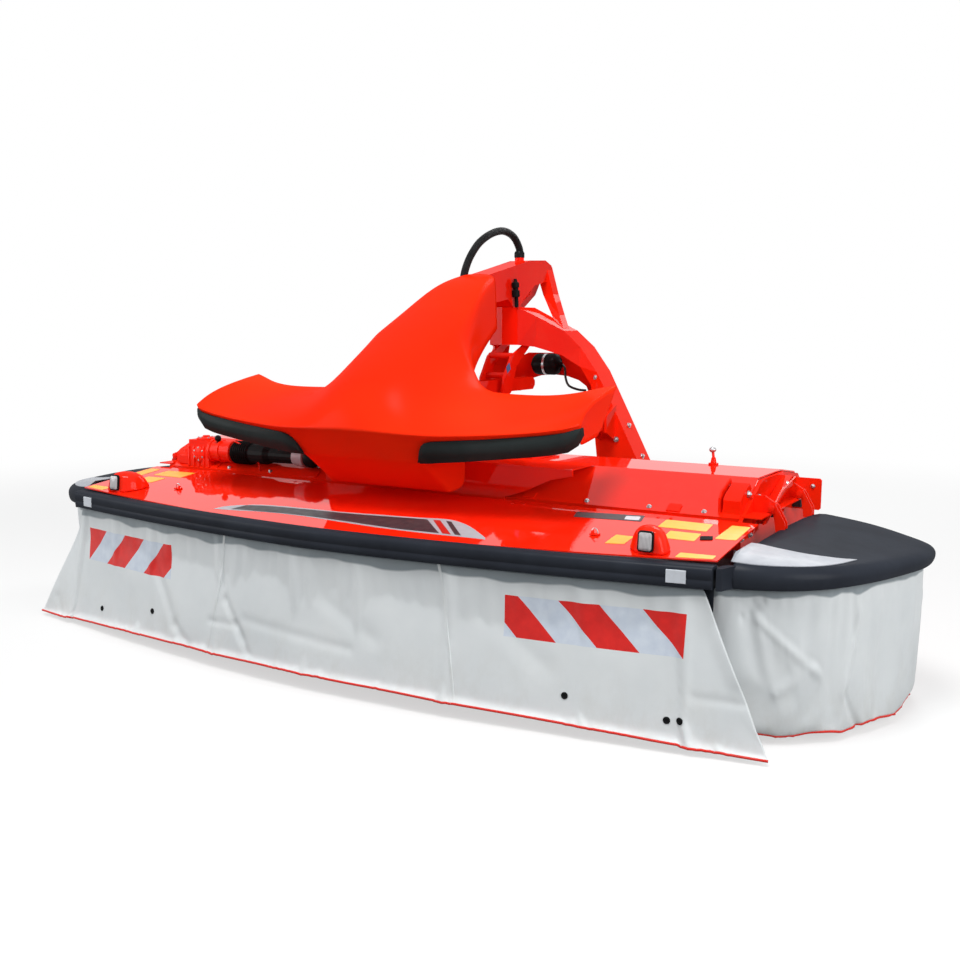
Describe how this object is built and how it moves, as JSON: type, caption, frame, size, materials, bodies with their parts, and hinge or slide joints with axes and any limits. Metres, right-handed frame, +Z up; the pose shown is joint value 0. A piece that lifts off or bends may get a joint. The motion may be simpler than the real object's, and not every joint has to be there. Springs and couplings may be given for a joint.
{
  "type": "mower conditioner",
  "caption": "Front-mounted disc mower conditioner: cutterbar, tine conditioner, hinged hood, canvas curtains, side guards, moulded cover and a push-type lift linkage.",
  "frame": {"origin": "centre of the footprint at ground level", "axes": "+X towards the machine's left side, +Y back towards the tractor, +Z up"},
  "size_m": [4.0116, 2.079, 1.7993],
  "materials": {
    "gloss_red": "gloss",
    "cover_red": "satin gloss",
    "bare_steel": "worn",
    "black_plastic": "fine grain",
    "dark_trim": "matte",
    "canvas": "coated woven",
    "rubber": "matte"
  },
  "bodies": {
    "mower": {"main_beam": "gloss_red", "conditioner_hood": "gloss_red", "side_plate_left": "gloss_red", "side_plate_right": "gloss_red", "cutterbar": "bare_steel", "rear_beam": "gloss_red", "carrier_saddle": "gloss_red", "saddle_front": "gloss_red", "centre_gearbox": "gloss_red", "cross_shaft": "rubber", "end_gearbox": "gloss_red", "end_bracket_left": "gloss_red", "end_bracket_right": "gloss_red"},
    "disc_1": {"disc_1": "bare_steel"},
    "disc_2": {"disc_2": "bare_steel"},
    "disc_3": {"disc_3": "bare_steel"},
    "disc_4": {"disc_4": "bare_steel"},
    "disc_5": {"disc_5": "bare_steel"},
    "disc_6": {"disc_6": "bare_steel"},
    "disc_7": {"disc_7": "bare_steel"},
    "conditioner_rotor": {"conditioner_rotor": "bare_steel"},
    "front_guard": {"front_hood": "gloss_red", "front_rim": "black_plastic", "lamp_left": "gloss_red", "lamp_right": "gloss_red", "front_curtain": "canvas"},
    "side_guard_left": {"side_guard_left": "black_plastic", "side_curtain_left": "canvas"},
    "side_guard_right": {"side_guard_right": "black_plastic", "side_curtain_right": "canvas"},
    "swath_door_left": {"swath_door_left": "gloss_red"},
    "swath_door_right": {"swath_door_right": "gloss_red"},
    "parking_stand_left": {"parking_stand_left": "bare_steel"},
    "parking_stand_right": {"parking_stand_right": "bare_steel"},
    "lower_arms": {"lower_arms": "gloss_red"},
    "carrying_frame": {"boom_arch": "gloss_red", "arch_plate": "gloss_red", "neck_beam": "gloss_red", "lift_link": "gloss_red", "accumulator": "black_plastic", "hitch_frame": "gloss_red", "hose": "rubber", "top_cover": "cover_red", "cover_trim_left": "dark_trim", "cover_trim_right": "dark_trim"},
    "upper_link": {"upper_link": "gloss_red"}
  },
  "joints": [
    {"name": "disc_1_spin", "type": "hinge", "parent": "mower", "child": "disc_1", "pos_m": [-1.29, -0.5415, 0.12], "axis": [0, 0, 1], "continuous": true},
    {"name": "disc_2_spin", "type": "hinge", "parent": "mower", "child": "disc_2", "pos_m": [-0.86, -0.5415, 0.12], "axis": [0, 0, 1], "continuous": true},
    {"name": "disc_3_spin", "type": "hinge", "parent": "mower", "child": "disc_3", "pos_m": [-0.43, -0.5415, 0.12], "axis": [0, 0, 1], "continuous": true},
    {"name": "disc_4_spin", "type": "hinge", "parent": "mower", "child": "disc_4", "pos_m": [0, -0.5415, 0.12], "axis": [0, 0, 1], "continuous": true},
    {"name": "disc_5_spin", "type": "hinge", "parent": "mower", "child": "disc_5", "pos_m": [0.43, -0.5415, 0.12], "axis": [0, 0, 1], "continuous": true},
    {"name": "disc_6_spin", "type": "hinge", "parent": "mower", "child": "disc_6", "pos_m": [0.86, -0.5415, 0.12], "axis": [0, 0, 1], "continuous": true},
    {"name": "disc_7_spin", "type": "hinge", "parent": "mower", "child": "disc_7", "pos_m": [1.29, -0.5415, 0.12], "axis": [0, 0, 1], "continuous": true},
    {"name": "conditioner_spin", "type": "hinge", "parent": "mower", "child": "conditioner_rotor", "pos_m": [0, 0.0685, 0.42], "axis": [1, 0, 0], "continuous": true},
    {"name": "front_guard_hinge", "type": "hinge", "parent": "mower", "child": "front_guard", "pos_m": [0, -0.3365, 0.643], "axis": [-1, 0, 0], "range_deg": [0, 15]},
    {"name": "side_guard_left_hinge", "type": "hinge", "parent": "mower", "child": "side_guard_left", "pos_m": [1.4875, -0.0015, 0.702], "axis": [0, -1, 0], "range_deg": [0, 90]},
    {"name": "side_guard_right_hinge", "type": "hinge", "parent": "mower", "child": "side_guard_right", "pos_m": [-1.4875, -0.0015, 0.702], "axis": [0, 1, 0], "range_deg": [0, 90]},
    {"name": "swath_door_left_hinge", "type": "hinge", "parent": "mower", "child": "swath_door_left", "pos_m": [1.325, 0.5085, 0.39], "axis": [0, 0, 1], "range_deg": [0, 32]},
    {"name": "swath_door_right_hinge", "type": "hinge", "parent": "mower", "child": "swath_door_right", "pos_m": [-1.325, 0.5085, 0.39], "axis": [0, 0, -1], "range_deg": [0, 32]},
    {"name": "parking_stand_left_swing", "type": "hinge", "parent": "mower", "child": "parking_stand_left", "pos_m": [0.9, 0.4635, 0.545], "axis": [1, 0, 0], "range_deg": [0, 90]},
    {"name": "parking_stand_right_swing", "type": "hinge", "parent": "mower", "child": "parking_stand_right", "pos_m": [-0.9, 0.4635, 0.545], "axis": [1, 0, 0], "range_deg": [0, 90]},
    {"name": "lift_linkage", "type": "hinge", "parent": "mower", "child": "lower_arms", "pos_m": [0, 0.0285, 0.87], "axis": [1, 0, 0], "range_deg": [0, 16]},
    {"name": "carrying_frame_hinge", "type": "hinge", "parent": "lower_arms", "child": "carrying_frame", "pos_m": [0, 0.7685, 0.87], "axis": [1, 0, 0], "range_deg": [-16, 0]},
    {"name": "upper_link_hinge", "type": "hinge", "parent": "mower", "child": "upper_link", "pos_m": [0, 0.0285, 1.06], "axis": [1, 0, 0], "range_deg": [0, 16]}
  ],
  "couplings": [
    {"joint": "disc_2_spin", "follows": "disc_1_spin", "ratio": -1},
    {"joint": "disc_3_spin", "follows": "disc_1_spin", "ratio": 1},
    {"joint": "disc_4_spin", "follows": "disc_1_spin", "ratio": -1},
    {"joint": "disc_5_spin", "follows": "disc_1_spin", "ratio": 1},
    {"joint": "disc_6_spin", "follows": "disc_1_spin", "ratio": -1},
    {"joint": "disc_7_spin", "follows": "disc_1_spin", "ratio": 1},
    {"joint": "carrying_frame_hinge", "follows": "lift_linkage", "ratio": -1},
    {"joint": "upper_link_hinge", "follows": "lift_linkage", "ratio": 1}
  ]
}
